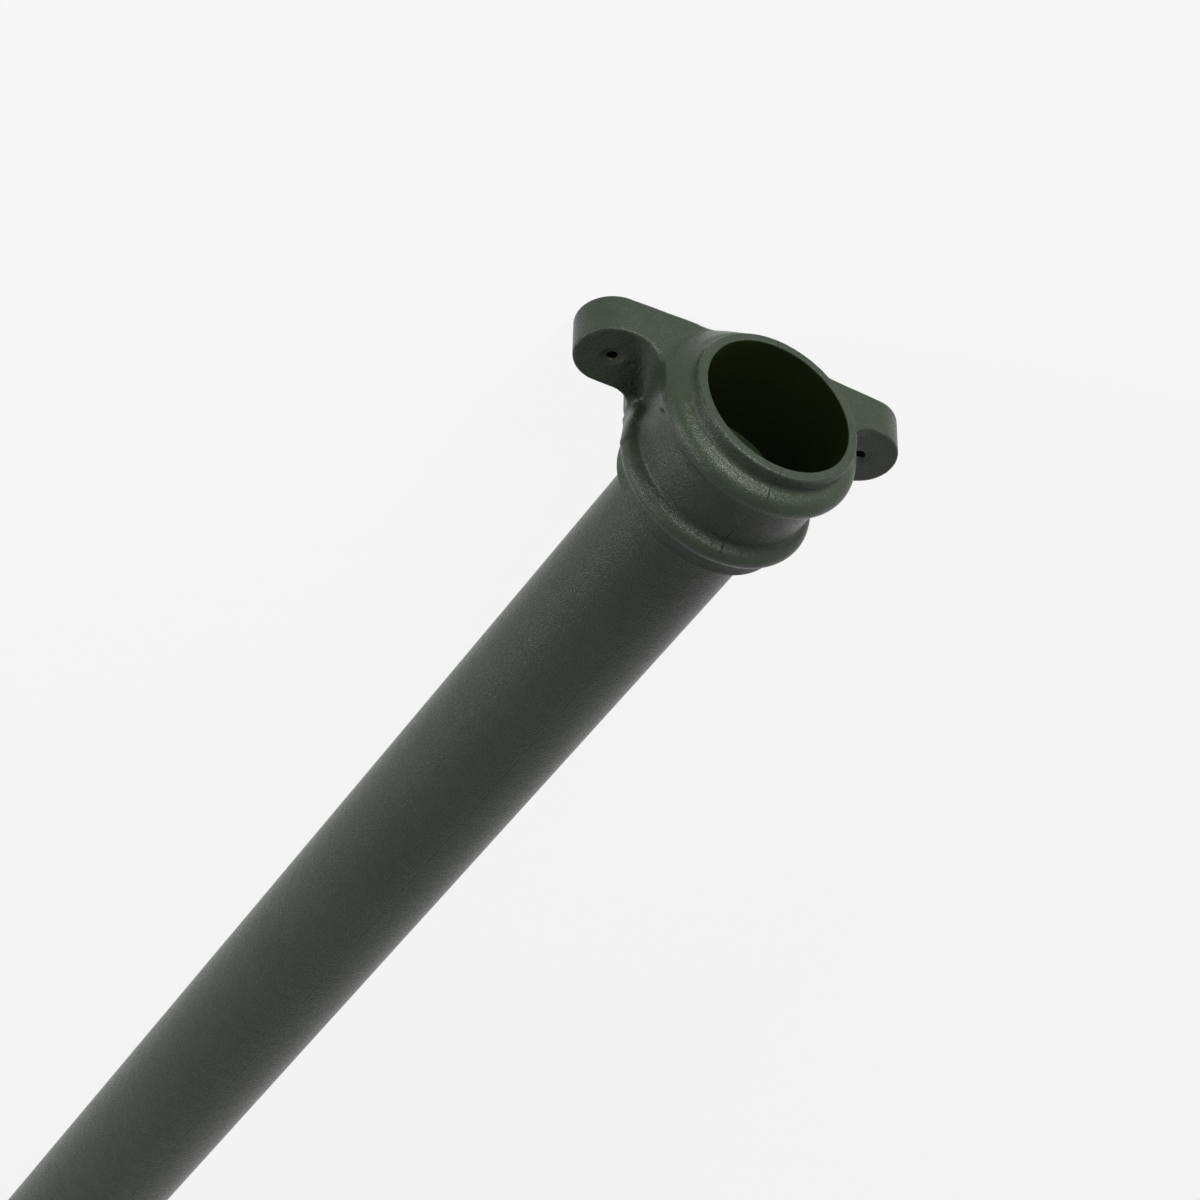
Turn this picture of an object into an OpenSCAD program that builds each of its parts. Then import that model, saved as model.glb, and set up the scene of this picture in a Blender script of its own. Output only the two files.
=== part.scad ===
// Cast iron rainwater downpipe with a beaded socket and a pair of fixing ears.
// It lies on its back: +Y runs out of the socket mouth, +X across the ears and
// +Z away from the wall. The origin is the centre of the socket mouth. Millimetres.

/* [Barrel] */
// Bore of the barrel
bore_d = 75; // [50:0.5:100]
// Wall of the barrel
barrel_wall = 3.75; // [3:0.05:6]
// Length that one pipe covers when it is jointed, from the socket's seat to the spigot end
effective_len = 1829; // [600:1:3000]
// Rounding of the spigot end's outer edge
spigot_round = 1; // [0.5:0.1:1.5]

/* [Socket] */
// Gap all round between the next pipe's spigot and the socket
joint_gap = 0.95; // [0.5:0.05:3]
// Depth of the socket, from its mouth to the seat
socket_depth = 65; // [45:1:75]
// Wall of the socket between and below the beads
neck_wall = 8.5; // [5:0.1:12]
// Length of the socket's outside, from the mouth to the step down to the barrel
socket_len = 81.5; // [81:0.5:120]

/* [Lip and beads] */
// Wall at the lip
lip_wall = 6.1; // [4:0.1:8]
// Height of the lip's plain side
lip_h = 6; // [4:0.5:8]
// Rounding of the lip's outer edge
lip_round = 1.2; // [0.5:0.1:2]
// How far the crests of the two beads stand out from the neck
bead_proud = 6.5; // [5:0.1:7]
// Radius of the head bead's round
head_bead_r = 8.25; // [7:0.05:10]
// Distance from the mouth to the crest of the head bead
head_bead_at = 18.75; // [17:0.25:24]
// Radius of the base bead's round
base_bead_r = 6.5; // [6:0.05:9]
// Distance from the mouth to the crest of the base bead
base_bead_at = 64; // [52:0.5:68]
// Radius of the hollow curves where a bead runs out into the neck or the lip
cove_r = 3; // [1:0.5:5]

/* [Ears] */
// Distance between the two fixing holes
fixing_centres = 152.4; // [145:0.1:180]
// Distance from the mouth to the fixing holes
ear_at = 41.75; // [36:0.25:50]
// Radius of the round end of each ear
ear_r = 21; // [18:0.5:26]
// Thickness of the ears
ear_t = 24.75; // [16:0.25:28]
// How far the backs of the ears stand proud of the beads
back_proud = 0.75; // [0.25:0.25:6]
// Rise of the bar's top edge from each ear to the pipe, in degrees
ear_taper = 2.5; // [0:0.5:5]
// Radius of the hollow curve under each ear
web_fillet = 16; // [8:1:20]
// How far the web under each ear stands out past the beads, at the ears' front faces
web_proud = 2; // [0.5:0.5:5]
// Radius of the hollow curve between each ear's front face and the side of the socket
face_fillet = 16.5; // [6:0.5:18]
// How far the side of the bar stands out past the beads
side_proud = 1.3; // [0.5:0.1:3]
// Distance from the mouth to the foot of the bar's side
side_foot = 46; // [30:1:60]
// Radius of the hollow curve that carries the bar's top up to the lip
shoulder_r = 15; // [9:0.5:16]
// How far that curve is set back towards the wall, so that it fades out at the front
shoulder_back = 4; // [2:0.5:5]
// Diameter of the fixing holes
hole_d = 6.4; // [5:0.2:12]
// Diameter of the shallow dish round each hole
dish_d = 14; // [12.5:0.5:22]
// Depth of the dish
dish_depth = 1; // [0.5:0.25:3]

/* [Hidden] */
$fn = 96;
iron = [0.21, 0.24, 0.22];
eps = 0.01;

bore_r = bore_d / 2;
barrel_r = bore_r + barrel_wall;
overall_len = socket_depth + effective_len;

socket_r = barrel_r + joint_gap;
lip_r = socket_r + lip_wall;
neck_r = socket_r + neck_wall;
bead_top_r = neck_r + bead_proud;
seat_run = socket_r - bore_r;

ear_x = fixing_centres / 2;
ear_foot = ear_at + ear_r;
ear_back = bead_top_r + back_proud;
ear_front = ear_back - ear_t;
bar_rise = (ear_x + ear_r * sin(ear_taper)) * tan(ear_taper);
bar_top = ear_r * cos(ear_taper) - ear_at + bar_rise;
web_x = sqrt(pow(bead_top_r, 2) - pow(ear_front, 2)) + web_proud;
side_x = bead_top_r + side_proud;

// Hollow curve between one side of a bead of radius r and the round face of radius base beside it
module cove(r, base, side) {
  centre = bead_top_r - r;
  reach = sqrt(pow(r + cove_r, 2) - pow(base + cove_r - centre, 2));
  run = (base + cove_r - centre) * r / (r + cove_r);
  difference() {
    translate([centre - r / 2, side > 0 ? 0 : -reach]) square([run + r / 2, reach]);
    translate([base + cove_r, side * reach]) circle(cove_r);
  }
}

// Half section of the socket's outside, with the pipe's axis at x = 0 and the mouth at y = 0
module socket_section() {
  // lip with a rounded outer edge
  translate([0, -head_bead_at]) square([lip_r, head_bead_at - lip_round]);
  translate([0, -lip_round]) square([lip_r - lip_round, lip_round]);
  translate([lip_r - lip_round, -lip_round]) circle(lip_round);
  // neck, from the head bead down to the step at the barrel
  translate([0, -socket_len]) square([neck_r, socket_len - head_bead_at]);
  translate([0, -head_bead_at]) {
    translate([bead_top_r - head_bead_r, 0]) circle(head_bead_r);
    cove(head_bead_r, lip_r, 1);
    cove(head_bead_r, neck_r, -1);
  }
  translate([0, -base_bead_at]) {
    translate([bead_top_r - base_bead_r, 0]) circle(base_bead_r);
    cove(base_bead_r, neck_r, 1);
    cove(base_bead_r, neck_r, -1);
  }
}

// Plain outside of the whole pipe: barrel and socket, before it is bored
module pipe_body() {
  rotate_extrude() socket_section();
  translate([0, 0, -overall_len]) rotate_extrude() {
    square([barrel_r - spigot_round, overall_len - socket_len + eps]);
    translate([0, spigot_round]) square([barrel_r, overall_len - socket_len - spigot_round + eps]);
    translate([barrel_r - spigot_round, spigot_round]) circle(spigot_round);
  }
}

// Half of the bar without the ear's round end, seen from the front
module bar_outline() {
  polygon([[0, -ear_foot], [0, bar_top], [ear_x + ear_r * sin(ear_taper), bar_top - bar_rise],
    [ear_x, -ear_foot]]);
}

// One ear and its half of the bar, seen from the front
module ear_outline() {
  translate([ear_x, -ear_at]) circle(ear_r);
  bar_outline();
  difference() {
    translate([0, -ear_foot - web_fillet]) square([web_x + web_fillet, ear_r + web_fillet]);
    translate([web_x + web_fillet, -ear_foot - web_fillet]) circle(web_fillet);
  }
}

// The bar's side seen along the pipe: it leaves the bead, then curves out to the ear's front face
module side_plan() {
  difference() {
    polygon([[0, 0], [0.95 * bead_top_r, -0.2 * bead_top_r], [side_x, 0],
      [side_x, ear_front - face_fillet], [side_x + face_fillet, ear_front],
      [side_x + face_fillet, ear_front + 3], [0, ear_front + 3]]);
    translate([side_x + face_fillet, ear_front - face_fillet]) circle(face_fillet);
  }
}

// Side of the bar, between an ear's front face and the socket
module bar_side() {
  intersection() {
    translate([0, 0, -side_foot]) linear_extrude(side_foot) side_plan();
    translate([0, ear_back, 0]) rotate([90, 0, 0]) linear_extrude(2 * ear_back) bar_outline();
  }
}

// Both ears and the bar across the back of the socket
module ear_bar() {
  translate([0, ear_back, 0]) rotate([90, 0, 0]) linear_extrude(ear_t) {
    ear_outline();
    mirror([1, 0]) ear_outline();
  }
  for (side = [0, 1]) mirror([side, 0, 0]) bar_side();
}

// Hollow curve from the bar's top up to the lip, turned about an axis set back to the wall
module shoulder() {
  low = lip_h + shoulder_r + 3;
  intersection() {
    translate([0, shoulder_back, 0]) rotate_extrude() difference() {
      translate([0, -low]) square([lip_r + shoulder_r, low - lip_h + 1]);
      translate([lip_r + shoulder_r, 1 - lip_h]) circle(shoulder_r);
    }
    translate([0, 0, -low]) linear_extrude(low) {
      side_plan();
      mirror([1, 0]) side_plan();
      translate([-lip_r - shoulder_r, ear_front]) square([2 * (lip_r + shoulder_r), ear_t]);
    }
  }
}

// Socket, seat and bore, cut right through
module waterway() {
  translate([0, 0, -socket_depth]) cylinder(r = socket_r, h = socket_depth + 1);
  translate([0, 0, -socket_depth - seat_run])
    cylinder(r1 = bore_r, r2 = socket_r, h = seat_run);
  translate([0, 0, -overall_len - 1]) cylinder(r = bore_r, h = overall_len);
}

// Fixing hole through each ear, with a shallow dish in the front face
module fixing_holes() {
  for (side = [-1, 1]) translate([side * ear_x, ear_front, -ear_at]) rotate([-90, 0, 0]) {
    translate([0, 0, -1]) cylinder(d = hole_d, h = ear_t + 2);
    translate([0, 0, -dish_depth]) cylinder(d1 = 2 * dish_d - hole_d, d2 = hole_d, h = 2 * dish_depth);
  }
}

module downpipe() {
  color(iron) rotate([-90, 0, 0]) difference() {
    union() {
      pipe_body();
      ear_bar();
      shoulder();
    }
    waterway();
    fixing_holes();
  }
}

downpipe();
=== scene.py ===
import math

import bmesh
import bpy
from mathutils import Matrix, Vector, noise


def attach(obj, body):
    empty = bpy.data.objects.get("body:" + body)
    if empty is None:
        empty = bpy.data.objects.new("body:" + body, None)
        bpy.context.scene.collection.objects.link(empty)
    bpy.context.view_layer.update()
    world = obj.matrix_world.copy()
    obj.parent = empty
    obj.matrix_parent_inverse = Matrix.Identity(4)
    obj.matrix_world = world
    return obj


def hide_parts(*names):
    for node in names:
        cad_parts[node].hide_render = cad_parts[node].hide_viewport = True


# Cast iron rainwater downpipe with a beaded socket and fixing ears, lying on its back.
# Shapes are drawn in millimetres: X across the ears, Y out of the socket, Z away from the wall.
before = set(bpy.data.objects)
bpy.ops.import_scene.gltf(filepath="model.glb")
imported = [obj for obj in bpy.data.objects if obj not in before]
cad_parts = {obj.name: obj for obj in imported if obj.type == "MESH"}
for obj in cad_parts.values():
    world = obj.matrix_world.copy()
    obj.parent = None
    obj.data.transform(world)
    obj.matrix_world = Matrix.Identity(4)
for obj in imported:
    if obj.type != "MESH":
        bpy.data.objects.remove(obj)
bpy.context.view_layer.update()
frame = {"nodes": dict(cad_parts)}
print("frame loaded:", ", ".join(frame["nodes"]))

camera = {
    "place": (-0.72852, 1.16628, 1.29966),
    "right": (0.87381, 0.48595, -0.01757),
    "up": (-0.32633, 0.55922, -0.76209),
    "lens": 109.49,
}


def addCamera(s):
    data = bpy.data.cameras.new("camera")
    data.lens, data.sensor_width = s["lens"], 36
    data.clip_start, data.clip_end = 0.05, 60
    obj = bpy.data.objects.new("camera", data)
    bpy.context.scene.collection.objects.link(obj)
    right = Vector(s["right"]).normalized()
    back = right.cross(Vector(s["up"])).normalized()
    turn = Matrix((right, back.cross(right), back)).transposed().to_4x4()
    obj.matrix_world = Matrix.Translation(s["place"]) @ turn
    bpy.context.scene.camera = obj


addCamera(camera)
print("camera placed")


# small helpers for meshes
def arc(centre, radius, start, end, steps):  # angles in degrees
    turns = [math.radians(start + (end - start) * i / steps) for i in range(steps + 1)]
    return [(centre[0] + radius * math.cos(t), centre[1] + radius * math.sin(t)) for t in turns]


def toObject(bm, name):
    bmesh.ops.recalc_face_normals(bm, faces=bm.faces)
    mesh = bpy.data.meshes.new(name)
    bm.to_mesh(mesh)
    bm.free()
    obj = bpy.data.objects.new(name, mesh)
    bpy.context.scene.collection.objects.link(obj)
    return obj


def applyModifiers(obj):
    graph = bpy.context.evaluated_depsgraph_get()
    baked = bpy.data.meshes.new_from_object(obj.evaluated_get(graph))
    obj.modifiers.clear()
    obj.data = baked


def cutOrJoin(obj, tool, operation):
    mod = obj.modifiers.new(operation.lower(), "BOOLEAN")
    mod.operation, mod.object, mod.solver = operation, tool, "MANIFOLD"
    applyModifiers(obj)
    bpy.data.objects.remove(tool)


def turned(points, name, steps=192, shift=0.0):  # (radius, y) points from axis to axis, spun about Y
    bm = bmesh.new()
    verts = [bm.verts.new((r, y, 0)) for r, y in points]
    for a, b in zip(verts, verts[1:]):
        bm.edges.new((a, b))
    bmesh.ops.spin(bm, geom=bm.verts[:] + bm.edges[:], cent=(0, 0, 0), axis=(0, 1, 0),
                   angle=2 * math.pi, steps=steps, use_merge=True)
    bmesh.ops.remove_doubles(bm, verts=bm.verts, dist=1e-4)
    bmesh.ops.translate(bm, verts=bm.verts, vec=(0, 0, shift))
    return toObject(bm, name)


def prism(outline, way, name, nearRound=0, farRound=0, shrink=1.0, about=(0, 0, 0)):
    bm = bmesh.new()  # an outline carried along way, with rounded rims; shrink tapers it towards about
    face = bm.faces.new([bm.verts.new(p) for p in outline])
    nearRim = face.edges[:]
    made = bmesh.ops.extrude_face_region(bm, geom=[face])["geom"]
    farRim = [e for e in made if isinstance(e, bmesh.types.BMEdge)]
    farVerts = [v for v in made if isinstance(v, bmesh.types.BMVert)]
    bmesh.ops.scale(bm, vec=(shrink,) * 3, space=Matrix.Translation(-Vector(about)), verts=farVerts)
    bmesh.ops.translate(bm, verts=farVerts, vec=way)
    for rim, width in ((nearRim, nearRound), (farRim, farRound)):
        if width:
            bmesh.ops.bevel(bm, geom=rim, offset=width, offset_type="OFFSET", affect="EDGES", segments=4,
                            profile=0.5, material=-1, clamp_overlap=True)
    return toObject(bm, name)


def trim(obj, point, normal):  # cut away what lies on the normal's side of a plane, and close the cut
    bm = bmesh.new()
    bm.from_mesh(obj.data)
    cut = bmesh.ops.bisect_plane(bm, geom=bm.verts[:] + bm.edges[:] + bm.faces[:], dist=1e-5,
                                 plane_co=point, plane_no=normal, clear_outer=True)["geom_cut"]
    bmesh.ops.edgenet_fill(bm, edges=[e for e in cut if isinstance(e, bmesh.types.BMEdge)])
    bmesh.ops.recalc_face_normals(bm, faces=bm.faces)
    bm.to_mesh(obj.data)
    bm.free()


socket = {
    "lipRadius": 48.3, "lipRound": 1.3,
    "neckRadius": 50.7, "crestRadius": 57.2,
    "headBeadAt": -18.75, "headBeadRadius": 8.25,
    "baseBeadAt": -64.0, "baseBeadRadius": 6.5,
    "coveRadius": 3.0, "grooveRadius": 50.6, "end": -79.0,
}


def beadSide(s, at, radius, base, side):  # bead from its crest, then the cove beside it; 1 is the mouth side
    cove, centre = s["coveRadius"], s["crestRadius"] - radius
    reach = math.sqrt((radius + cove) ** 2 - (base + cove - centre) ** 2)
    lean = math.degrees(math.atan2(reach, base + cove - centre))
    points = arc((centre, at), radius, 0, side * lean, 12)
    return points + arc((base + cove, at + side * reach), cove, side * (180 + lean), side * 180, 6)[1:]


def addSocket(s):
    r = s["lipRound"]
    points = [(0, 0)] + arc((s["lipRadius"] - r, -r), r, 90, 0, 5)
    points += beadSide(s, s["headBeadAt"], s["headBeadRadius"], s["lipRadius"], 1)[::-1]
    points += beadSide(s, s["headBeadAt"], s["headBeadRadius"], s["neckRadius"], -1)[1:]
    points += beadSide(s, s["baseBeadAt"], s["baseBeadRadius"], s["neckRadius"], 1)[::-1]
    points += beadSide(s, s["baseBeadAt"], s["baseBeadRadius"], s["grooveRadius"], -1)[1:]
    return turned(points + [(s["grooveRadius"], s["end"]), (0, s["end"])], "socketBody", 256)


ears = {
    "holeAt": (76.2, -41.75), "radius": 21.0,
    "front": -33.2, "back": -57.9, "taper": 2.5,
    "frontRound": 0.9, "backRound": 1.2,
    "webSide": 49.5, "webFillet": 16.0, "webProud": 0.8,
    "webTop": (-61.0, -64.5), "webLow": (-67.0, -78.9),  # y at the front, then at the ear's front face
    "sideProud": 58.0, "sideFillet": 16.5, "sideTaperFrom": -22.0,
    "sideFootAt": 44.5, "sideFootSize": 0.1,
    "shoulderTop": -6.0, "shoulderSlope": 48.0, "shoulderBack": 4.0,
}


def addEars(s):
    (x, y), r, lean = s["holeAt"], s["radius"], math.radians(s["taper"])
    top = y + r * math.cos(lean) + (x + r * math.sin(lean)) * math.tan(lean)
    foot, fillet = y - r, s["webFillet"]
    half = [(0, top)] + arc((x, y), r, 90 - s["taper"], -90, 40)
    half += arc((s["webSide"] + fillet, foot - fillet), fillet, 90, 180, 16) + [(0, foot - fillet)]
    outline = half[:-1] + [(-px, py) for px, py in half[:0:-1]]
    solids = [prism([(px, py, s["front"]) for px, py in outline], (0, 0, s["back"] - s["front"]), "bar",
                    s["frontRound"], s["backRound"])]

    # the bar's side, seen along the pipe: it leaves the bead and curves out to the ear's front face.
    # It is whole above sideTaperFrom, and tapers away below it until it is gone at the ear's foot
    side, f, start = s["sideProud"], s["sideFillet"], s["sideTaperFrom"]
    plan = [(0, -5), (0.96 * side, 12), (side, 0)] + arc((side + f, s["front"] + f), f, 180, 270, 16)
    for way in (1, -1):
        rim = [(way * px, start, pz) for px, pz in plan + [(side + f, s["front"] - 4), (0, s["front"] - 4)]]
        upper = prism(rim, (0, 30, 0), "barSide")
        trim(upper, (0, top, 0), (way * math.sin(lean), math.cos(lean), 0))
        lower = prism(rim, (way * (s["sideFootAt"] - side), foot - start, 0), "barSideFoot",
                      shrink=s["sideFootSize"], about=(way * side, start, s["front"]))
        # web under the ear, which runs down into the base bead
        (high, highBack), (low, lowBack), back = s["webTop"], s["webLow"], s["front"] - 1
        web = prism([(way * 30, high, 1), (way * 30, low, 1), (way * 30, lowBack, back),
                     (way * 30, highBack, back)], (way * 30, 0, 0), "web")
        reach = socket["crestRadius"] + s["webProud"]
        trim(web, (way * reach, 0, 0), (-way * s["front"], 0, s["webSide"] - reach))
        solids += [upper, lower, web]

    # slope from the bar's top up to the lip, turned about an axis set back to the wall
    lip, high, low = socket["lipRadius"], s["shoulderTop"], top - 5
    out = lip + (high - low) / math.tan(math.radians(s["shoulderSlope"]))
    shoulder = turned([(0, high), (lip, high), (out, low), (0, low)], "shoulder", 192, -s["shoulderBack"])
    wide = plan[1:] + [(side + f, s["back"] + 0.5)]
    wide += [(-px, pz) for px, pz in wide[::-1]]
    cutOrJoin(shoulder, prism([(px, low - 1, pz) for px, pz in wide], (0, 60, 0), "block"), "INTERSECT")
    return solids + [shoulder]


casting = {
    "voxel": 0.86, "evenOut": 3, "softenHollows": 40, "crispFrom": (12.0, 24.0),
    "softFoot": (50.0, -50.0, -18.0), "softFootSize": 21.0, "softenFoot": 110,
    "wobble": 0.12, "wobbleSize": 14.0, "sharpAngle": 38.0,
    "pips": [  # place, width and height of the specks of metal that the mould left, pits below zero
        ((-65.0, -42.6, -33.2), 2.6, -0.5), ((-45.0, -23.4, 32.8), 2.2, 0.7),
        ((-41.5, -27.2, 33.4), 1.8, 0.5), ((-37.6, -29.0, 33.9), 2.2, 0.7),
        ((-22.2, -19.0, 52.6), 2.0, 0.6), ((-55.7, -14.3, 2.3), 2.0, 0.5),
        ((10.8, -58.5, 53.0), 2.0, 0.6), ((9.9, -17.1, 56.1), 1.8, 0.5),
        ((-48.0, -47.5, -19.0), 2.4, 0.6),
    ],
    "roughPatches": [  # place and size of the rougher skin, then its depth
        ((-47.0, -1.5, -6.9), 13.0, 0.28), ((-55.2, -46.0, -31.9), 13.0, 0.35),
        ((-57.0, -60.0, -33.3), 8.0, 0.3),
    ],
    "roughGrain": 1.3, "roughSink": 0.8,
}


def fuse(socketBody, others, s):  # one skin round all the solids, with the hollows by the ears filled softly
    bm = bmesh.new()
    for solid in [socketBody] + others:
        bm.from_mesh(solid.data)
    for solid in others:
        bpy.data.objects.remove(solid)
    skin = toObject(bm, "downpipe_casting")
    remesh = skin.modifiers.new("remesh", "REMESH")
    remesh.mode, remesh.voxel_size = "VOXEL", s["voxel"]
    even = skin.modifiers.new("even", "SMOOTH")
    even.factor, even.iterations = 0.5, s["evenOut"]
    applyModifiers(skin)

    bm = bmesh.new()
    bm.from_mesh(skin.data)
    bm.verts.ensure_lookup_table()
    near = [[e.other_vert(v).index for e in v.link_edges] for v in bm.verts]
    low, high = s["crispFrom"]
    crisp = [min(1.0, max(0.0, (v.co.z - low) / (high - low))) for v in bm.verts]
    hollow = []
    for v, ring in zip(bm.verts, near):
        middle = sum((bm.verts[i].co for i in ring), Vector()) / len(ring)
        hollow.append(min(1.0, max(0.0, 30 * (middle - v.co).dot(v.normal) / s["voxel"] - 0.1)))
    for _ in range(5):
        hollow = [max(h, 0.92 * max(hollow[i] for i in ring)) for h, ring in zip(hollow, near)]
    (x, y, z), reach, foot = s["softFoot"], s["softFootSize"], []  # both ears' feet are rounded all over
    for v, h, c in zip(bm.verts, hollow, crisp):
        off = Vector((abs(v.co.x) - x, 0.7 * (v.co.y - y), v.co.z - z)).length / reach
        foot.append(min(1.0, max(0.0, 1.8 * (1 - off))) * (1 - c))
        hollow[v.index] = h * (1 - c)
    bm.free()
    for name, weights in (("hollow", hollow), ("foot", foot), ("crisp", crisp)):
        group = skin.vertex_groups.new(name=name)
        for index, weight in enumerate(weights):
            group.add([index], weight, "REPLACE")
    for name, rounds in (("hollow", s["softenHollows"]), ("foot", s["softenFoot"])):
        soften = skin.modifiers.new("soften", "SMOOTH")
        soften.factor, soften.iterations, soften.vertex_group = 0.5, rounds, name
    wrap = skin.modifiers.new("wrap", "SHRINKWRAP")  # the front keeps the turned profile exactly
    wrap.target, wrap.vertex_group = socketBody, "crisp"
    applyModifiers(skin)
    skin.vertex_groups.clear()
    bpy.data.objects.remove(socketBody)
    return skin


pipe = fuse(addSocket(socket), addEars(ears), casting)
print("socket and ears fused:", len(pipe.data.polygons), "faces")

barrel = {
    "radius": 41.25, "boreRadius": 37.5, "socketBore": 42.2, "socketDepth": 65.0,
    "end": -1894.0, "spigotRound": 1.0, "mouthRound": 0.7,
    "collar": (-72.0, -81.5), "collarRadius": 51.0, "collarRound": 0.5,
    "holeRadius": 3.2, "dishRadius": 6.6, "dishDepth": 0.9,
}


def addBarrel(s):
    r, c, (top, low), wide = s["spigotRound"], s["collarRound"], s["collar"], s["collarRadius"]
    points = [(0, top), (wide - 1.2, top), (wide, low + 1.8)]  # the collar comes out of the neck on a cone
    points += arc((wide - c, low + c), c, 0, -90, 4) + [(s["radius"], low)]
    points += [(s["radius"], low - 9 - 60 * i) for i in range(30)]  # rings that keep the faces short
    points += arc((s["radius"] - r, s["end"] + r), r, 0, -90, 4) + [(0, s["end"])]
    return turned(points, "barrel", 160)


def addBore(s):
    m, wide, narrow = s["mouthRound"], s["socketBore"], s["boreRadius"]
    points = [(0, 2), (wide + m, 2)] + arc((wide + m, -m), m, 90, 180, 4)
    points += [(wide, -s["socketDepth"]), (narrow, narrow - wide - s["socketDepth"]), (narrow, s["end"] - 5)]
    return turned(points + [(0, s["end"] - 5)], "bore", 192)


def addHole(s, side):  # cutter for one fixing hole and the shallow dish round it
    deep, wide, narrow = s["dishDepth"], s["dishRadius"], s["holeRadius"]
    ball = (wide * wide + deep * deep) / (2 * deep)
    lean = math.degrees(math.asin(wide / ball))
    points = [(0, 3), (wide + 0.5, 3)] + arc((0, ball - deep), ball, lean - 90, lean * narrow / wide - 90, 8)
    obj = turned(points + [(narrow - 0.3, -deep - 0.5), (narrow - 0.3, -30), (0, -30)], "hole", 48)
    place = Matrix.Translation((side * ears["holeAt"][0], ears["holeAt"][1], ears["front"]))
    obj.data.transform(place @ Matrix.Rotation(math.radians(90), 4, "X"))
    return obj


cutOrJoin(pipe, addBarrel(barrel), "UNION")
cutOrJoin(pipe, addBore(barrel), "DIFFERENCE")
for side in (1, -1):
    cutOrJoin(pipe, addHole(barrel, side), "DIFFERENCE")
print("barrel joined, bore and holes cut:", len(pipe.data.polygons), "faces")


def skinHeight(place, s):  # unevenness of the sand casting at a place on its skin
    height = s["wobble"] * (noise.noise(place / s["wobbleSize"]) - 1) / 2
    for middle, width, rise in s["pips"]:
        off = (place - Vector(middle)).length / width
        if off < 1:
            height += rise * (1 - off * off) ** 2
    for middle, width, rise in s["roughPatches"]:
        off = (place - Vector(middle)).length / width
        if off < 1:
            height += rise * (1 - off * off) * (noise.noise(place / s["roughGrain"]) - s["roughSink"])
    return height


def finishCasting(obj, s):  # uneven skin, a second material for the bore that carries painted shade, then metres
    obj.data.materials.clear()
    bm = bmesh.new()
    bm.from_mesh(obj.data)
    bmesh.ops.remove_doubles(bm, verts=bm.verts, dist=1e-3)
    bm.normal_update()
    moves = [v.normal * skinHeight(v.co, s) for v in bm.verts]
    for v, move in zip(bm.verts, moves):
        v.co += move
    # faces of the bore get the second material: the dark inside coat with painted shade
    for face in bm.faces:
        middle = face.calc_center_median()
        across = Vector((middle.x, 0, middle.z))
        face.material_index = int(across.length < barrel["socketBore"] + 0.4 and face.normal.dot(across) < 0)
    bmesh.ops.scale(bm, vec=(0.001,) * 3, verts=bm.verts)
    bm.to_mesh(obj.data)
    bm.free()
    obj.data.shade_smooth()
    obj.data.set_sharp_from_angle(angle=math.radians(s["sharpAngle"]))


finishCasting(pipe, casting)
print("casting finished")

grain = {
    "fine": 1400.0, "coarse": 560.0, "lumps": 95.0, "patches": 14.0,
    "coarseHeight": 0.9, "lumpHeight": 1.6,
}
seam = {
    "width": 0.00055, "wanderScale": 60.0, "wander": 0.0012,
    "gapScale": 35.0, "gapContrast": 5.0, "gapShift": -1.7, "strength": 0.75, "depth": 1.5,
}


def newGroup(name, inputs, outputs):
    group = bpy.data.node_groups.new(name, "ShaderNodeTree")
    for label, kind, value in inputs:
        socketIn = group.interface.new_socket(label, in_out="INPUT", socket_type=kind)
        if value is not None:
            socketIn.default_value = value
    for label, kind in outputs:
        group.interface.new_socket(label, in_out="OUTPUT", socket_type=kind)
    return group, group.nodes.new("NodeGroupInput"), group.nodes.new("NodeGroupOutput")


def mathNode(tree, operation, a, b=None, c=None, clamp=False):
    node = tree.nodes.new("ShaderNodeMath")
    node.operation, node.use_clamp = operation, clamp
    for slot, value in zip(node.inputs, (a, b, c)):
        if isinstance(value, bpy.types.NodeSocket):
            tree.links.new(value, slot)
        elif value is not None:
            slot.default_value = value
    return node.outputs[0]


def noiseNode(tree, vector, scale, detail=2.0, rough=0.5):
    node = tree.nodes.new("ShaderNodeTexNoise")
    node.inputs["Scale"].default_value = scale
    node.inputs["Detail"].default_value, node.inputs["Roughness"].default_value = detail, rough
    tree.links.new(vector, node.inputs["Vector"])
    return node.outputs["Fac"]


def mixColour(tree, factor, a, b):
    node = tree.nodes.new("ShaderNodeMix")
    node.data_type = "RGBA"
    for slot, value in ((node.inputs["Factor"], factor), (node.inputs["A"], a), (node.inputs["B"], b)):
        if isinstance(value, bpy.types.NodeSocket):
            tree.links.new(value, slot)
        else:
            slot.default_value = value
    return node.outputs["Result"]


def castGrainGroup(s):  # sand grain under paint: heights from fine to broad, and blotches of colour
    group, inside, out = newGroup("castGrain", [("Vector", "NodeSocketVector", None)],
                                  [("Height", "NodeSocketFloat"), ("Speckle", "NodeSocketFloat"),
                                   ("Blotch", "NodeSocketFloat")])
    vector = inside.outputs["Vector"]
    fine = noiseNode(group, vector, s["fine"], 2.0, 0.6)
    coarse = noiseNode(group, vector, s["coarse"], 3.0, 0.6)
    lumps = noiseNode(group, vector, s["lumps"], 3.0)
    patches = noiseNode(group, vector, s["patches"], 4.0)
    height = mathNode(group, "MULTIPLY_ADD", coarse, s["coarseHeight"], fine)
    height = mathNode(group, "MULTIPLY_ADD", lumps, s["lumpHeight"], height)
    group.links.new(height, out.inputs["Height"])
    group.links.new(mathNode(group, "MULTIPLY_ADD", fine, 0.5, mathNode(group, "MULTIPLY", coarse, 0.5)),
                    out.inputs["Speckle"])
    group.links.new(mathNode(group, "MULTIPLY_ADD", lumps, 0.4, mathNode(group, "MULTIPLY", patches, 0.6)),
                    out.inputs["Blotch"])
    return group


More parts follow.
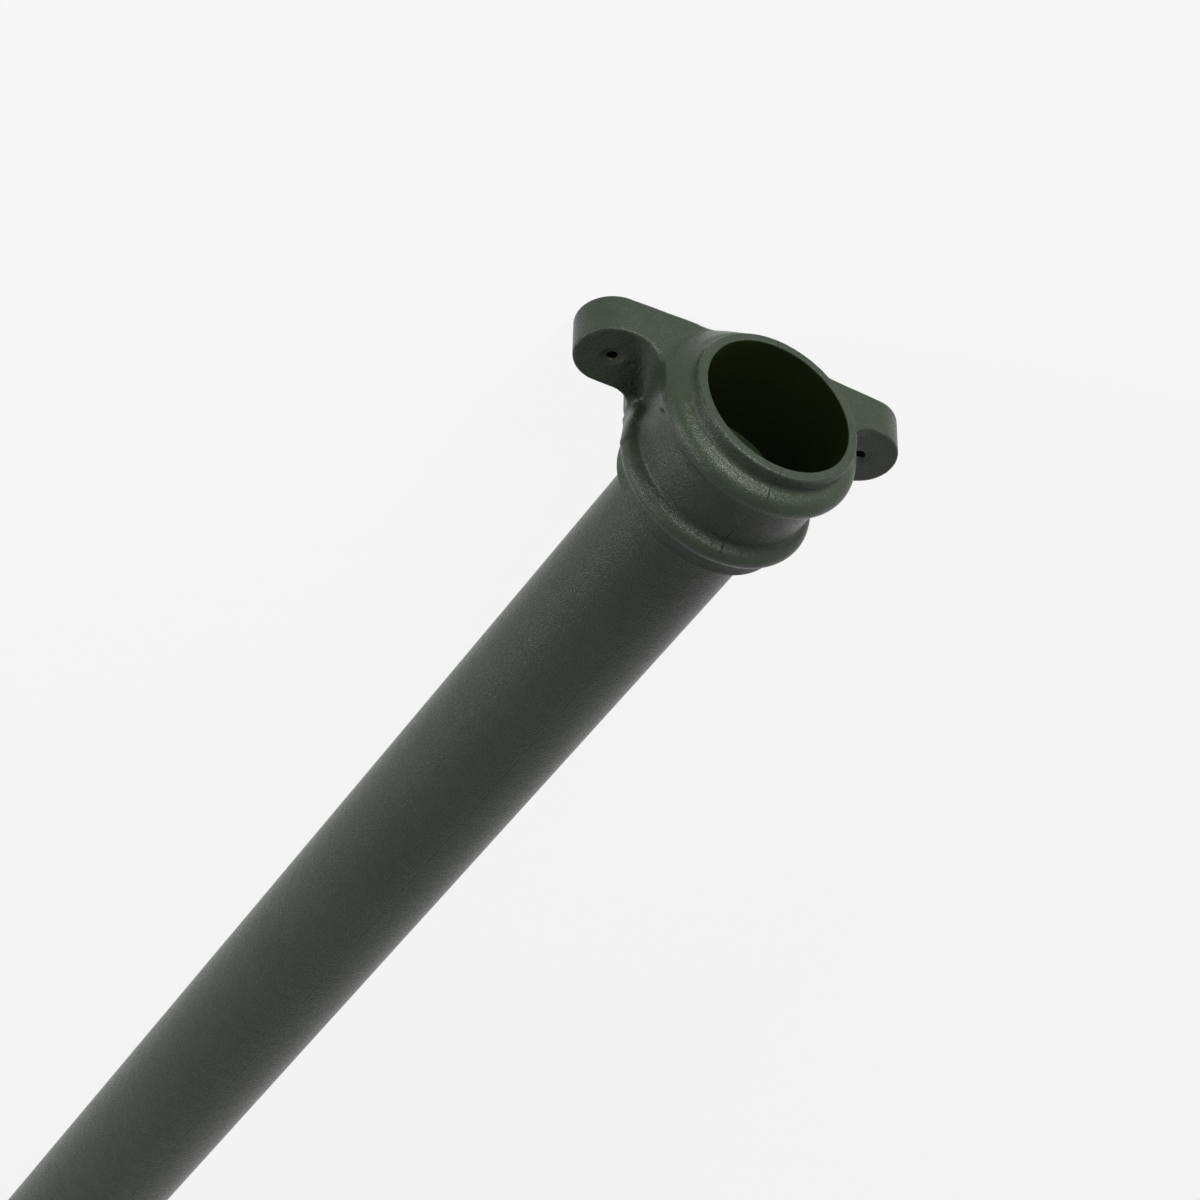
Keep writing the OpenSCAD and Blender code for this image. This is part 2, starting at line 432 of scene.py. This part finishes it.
def seamGroup(s):  # the mould's parting line, in the plane x = 0, broken up along its length
    group, inside, out = newGroup("moldSeam", [("Vector", "NodeSocketVector", None),
                                               ("Width", "NodeSocketFloat", s["width"])],
                                  [("Mask", "NodeSocketFloat")])
    vector = inside.outputs["Vector"]
    split = group.nodes.new("ShaderNodeSeparateXYZ")
    group.links.new(vector, split.inputs[0])
    sway = noiseNode(group, vector, s["wanderScale"])
    wander = mathNode(group, "MULTIPLY_ADD", sway, s["wander"], -s["wander"] / 2)
    off = mathNode(group, "ABSOLUTE", mathNode(group, "ADD", split.outputs["X"], wander))
    share = mathNode(group, "DIVIDE", off, inside.outputs["Width"])
    line = mathNode(group, "SUBTRACT", 1.0, share, clamp=True)
    broken = noiseNode(group, vector, s["gapScale"])
    gaps = mathNode(group, "MULTIPLY_ADD", broken, s["gapContrast"], s["gapShift"], clamp=True)
    group.links.new(mathNode(group, "MULTIPLY", line, gaps), out.inputs["Mask"])
    return group


def placeGroup(tree, group, vector, **values):
    node = tree.nodes.new("ShaderNodeGroup")
    node.node_tree = group
    tree.links.new(vector, node.inputs["Vector"])
    for label, value in values.items():
        node.inputs[label].default_value = value
    return node


castGrain, moldSeam = castGrainGroup(grain), seamGroup(seam)

finishes = [
    {"name": "ironPaint", "deep": (0.0150, 0.0238, 0.0130, 1), "pale": (0.0250, 0.0350, 0.0220, 1),
     "roughness": (0.12, 0.46), "specular": 0.2, "bump": 0.00034, "seam": (0.005, 0.007, 0.005, 1)},
    # bore coating: a dark primer colour, with painted shade of the pipe's unlit inside added to it
    {"name": "boreCoatWithPaintedShade", "deep": (0.0068, 0.0122, 0.0034, 1), "pale": (0.0102, 0.0168, 0.0050, 1),
     "roughness": (0.50, 0.62), "specular": 0.05, "bump": 0.00006, "seam": None},
]


def paintMaterial(s):
    mat = bpy.data.materials.new(s["name"])
    mat.use_nodes = True
    tree = mat.node_tree
    shader = tree.nodes["Principled BSDF"]
    where = tree.nodes.new("ShaderNodeTexCoord").outputs["Object"]
    cast = placeGroup(tree, castGrain, where)
    blotch = mathNode(tree, "MULTIPLY_ADD", cast.outputs["Blotch"], 2.4, -0.7, clamp=True)
    colour, height = mixColour(tree, blotch, s["deep"], s["pale"]), cast.outputs["Height"]
    if s["seam"]:
        mask = placeGroup(tree, moldSeam, where, Width=seam["width"]).outputs["Mask"]
        colour = mixColour(tree, mathNode(tree, "MULTIPLY", mask, seam["strength"]), colour, s["seam"])
        height = mathNode(tree, "MULTIPLY_ADD", mask, -seam["depth"], height)
    tree.links.new(colour, shader.inputs["Base Color"])
    low, high = s["roughness"]
    rough = mathNode(tree, "MULTIPLY_ADD", cast.outputs["Speckle"], high - low, low)
    tree.links.new(rough, shader.inputs["Roughness"])
    shader.inputs["Specular IOR Level"].default_value = s["specular"]
    bump = tree.nodes.new("ShaderNodeBump")
    bump.inputs["Distance"].default_value = s["bump"]
    tree.links.new(height, bump.inputs["Height"])
    tree.links.new(bump.outputs["Normal"], shader.inputs["Normal"])
    return mat


for finish in finishes:
    pipe.data.materials.append(paintMaterial(finish))
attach(pipe, "root")
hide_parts("downpipe")
print("paint done")

stage = {
    "floorAt": -0.05795, "floorSize": 16.0, "floorColour": (0.8, 0.8, 0.8, 1), "shadowLeft": 0.12,
    "worldLight": 0.03,
    "lamps": [  # name, direction, distance, size, power
        ("mouthLamp", (0.0, 1.0, 0.12), 2.4, 0.8, 115),
        ("sideLamp", (-1.0, -0.2, 0.16), 2.4, 0.8, 47),
    ],
}


def seenDirectly(tree):  # camera, mirror and glass rays see the white background
    path = tree.nodes.new("ShaderNodeLightPath")
    seen = mathNode(tree, "MAXIMUM", path.outputs["Is Camera Ray"], path.outputs["Is Glossy Ray"])
    return mathNode(tree, "MAXIMUM", seen, path.outputs["Is Transmission Ray"])


def addStage(s):
    bm = bmesh.new()
    bmesh.ops.create_grid(bm, x_segments=1, y_segments=1, size=s["floorSize"] / 2)
    bmesh.ops.translate(bm, verts=bm.verts, vec=(0, -0.9, s["floorAt"]))
    floor = toObject(bm, "floor")
    mat = bpy.data.materials.new("paleFloor")
    mat.use_nodes = True
    tree = mat.node_tree
    plain = tree.nodes["Principled BSDF"]
    plain.inputs["Base Color"].default_value = s["floorColour"]
    plain.inputs["Specular IOR Level"].default_value = 0
    white = tree.nodes.new("ShaderNodeEmission")
    mix = tree.nodes.new("ShaderNodeMixShader")
    tree.links.new(mathNode(tree, "MULTIPLY", seenDirectly(tree), 1 - s["shadowLeft"]), mix.inputs[0])
    tree.links.new(plain.outputs[0], mix.inputs[1])
    tree.links.new(white.outputs[0], mix.inputs[2])
    tree.links.new(mix.outputs[0], tree.nodes["Material Output"].inputs["Surface"])
    floor.data.materials.append(mat)
    for name, way, far, size, power in s["lamps"]:
        data = bpy.data.lights.new(name, "AREA")
        data.energy, data.size = power, size
        lamp = bpy.data.objects.new(name, data)
        bpy.context.scene.collection.objects.link(lamp)
        way = Vector(way).normalized()
        lamp.location, lamp.rotation_euler = way * far, way.to_track_quat("Z", "Y").to_euler()
    world = bpy.data.worlds.new("studio")
    world.use_nodes = True
    bpy.context.scene.world = world
    tree = world.node_tree
    background = tree.nodes["Background"]
    background.inputs["Color"].default_value = (1, 1, 1, 1)
    strength = mathNode(tree, "MULTIPLY_ADD", seenDirectly(tree), 1 - s["worldLight"], s["worldLight"])
    tree.links.new(strength, background.inputs["Strength"])


addStage(stage)
bpy.context.scene.view_settings.view_transform = "Standard"
print("stage lit")
